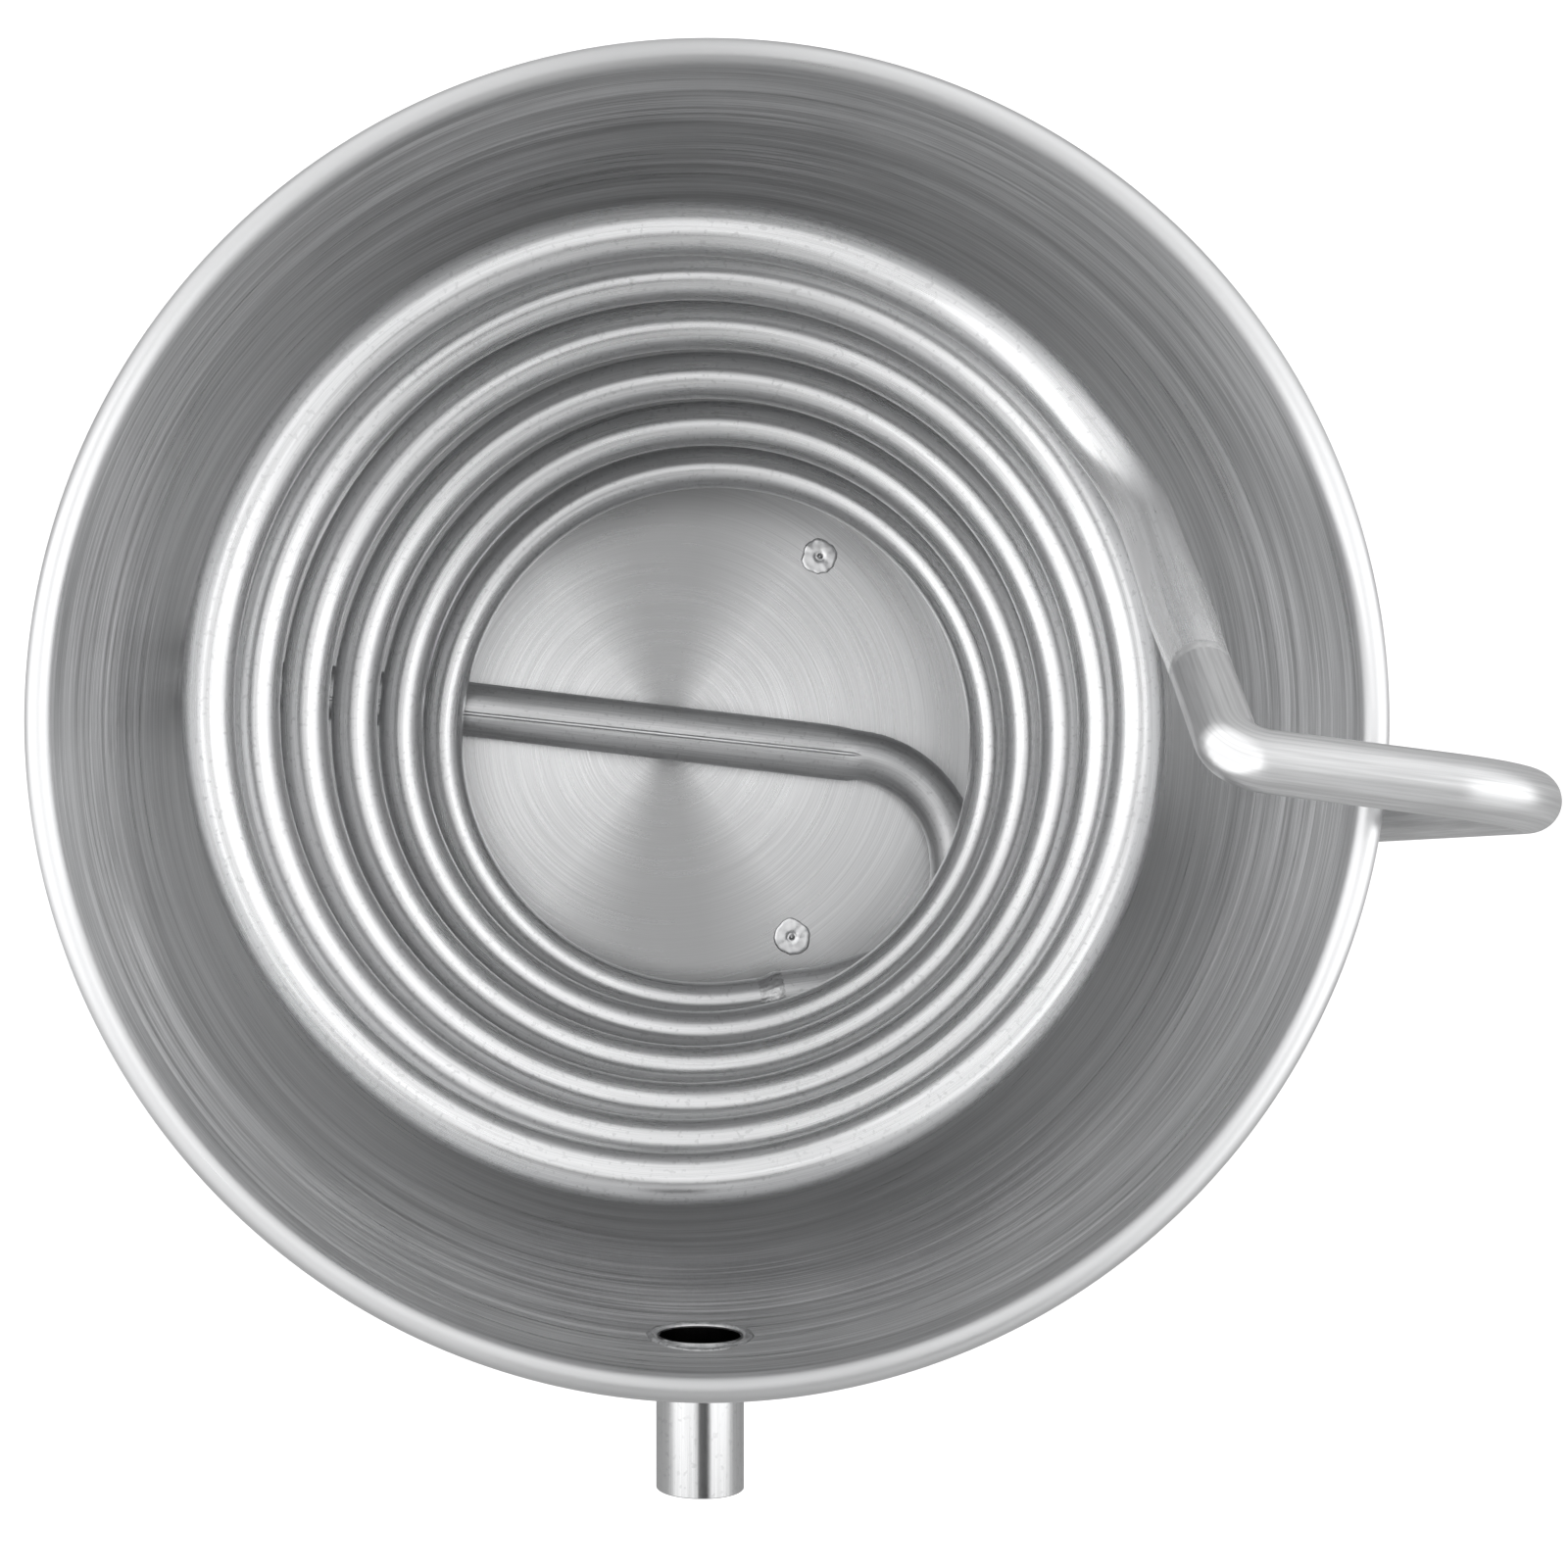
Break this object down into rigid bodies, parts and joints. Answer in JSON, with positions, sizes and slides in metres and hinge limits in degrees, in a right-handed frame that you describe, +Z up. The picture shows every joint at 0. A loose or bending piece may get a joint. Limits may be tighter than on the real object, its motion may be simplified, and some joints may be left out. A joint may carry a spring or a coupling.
{
  "type": "wort chiller",
  "caption": "Stainless steel bucket with a conical coil of tube fixed inside it, a gooseneck inlet over the rim, an outlet through the wall and an overflow tube near the rim.",
  "frame": {"origin": "on the bucket's axis, in the plane that the feet stand on", "axes": "+Z up the bucket's axis, -Y along the overflow tube, +X towards the inlet gooseneck"},
  "size_m": [0.2778, 0.2573, 0.2719],
  "materials": {
    "bucket_brushed": "circumferentially brushed",
    "coil_polished": "polished, fine draw lines",
    "gooseneck_satin": "satin brushed, handled",
    "outlet_seamed": "satin, with a raised seam line",
    "overflow_satin": "satin, ground along its length",
    "weld_bead": "cleaned weld, uneven",
    "feet_turned": "turned"
  },
  "bodies": {
    "root": {"bucket_shell": "bucket_brushed", "coil_tube": "coil_polished", "inlet_gooseneck": "gooseneck_satin", "inlet_joint_weld": "weld_bead", "outlet_tube": "outlet_seamed", "outlet_joint_weld": "weld_bead", "outlet_weld_inner": "weld_bead", "outlet_weld_outer": "weld_bead", "overflow_tube": "overflow_satin", "overflow_weld_inner": "weld_bead", "overflow_weld_outer": "weld_bead", "plug_weld_a": "weld_bead", "foot_a": "feet_turned", "plug_weld_b": "weld_bead", "foot_b": "feet_turned", "plug_weld_c": "weld_bead", "foot_c": "feet_turned"}
  },
  "joints": []
}
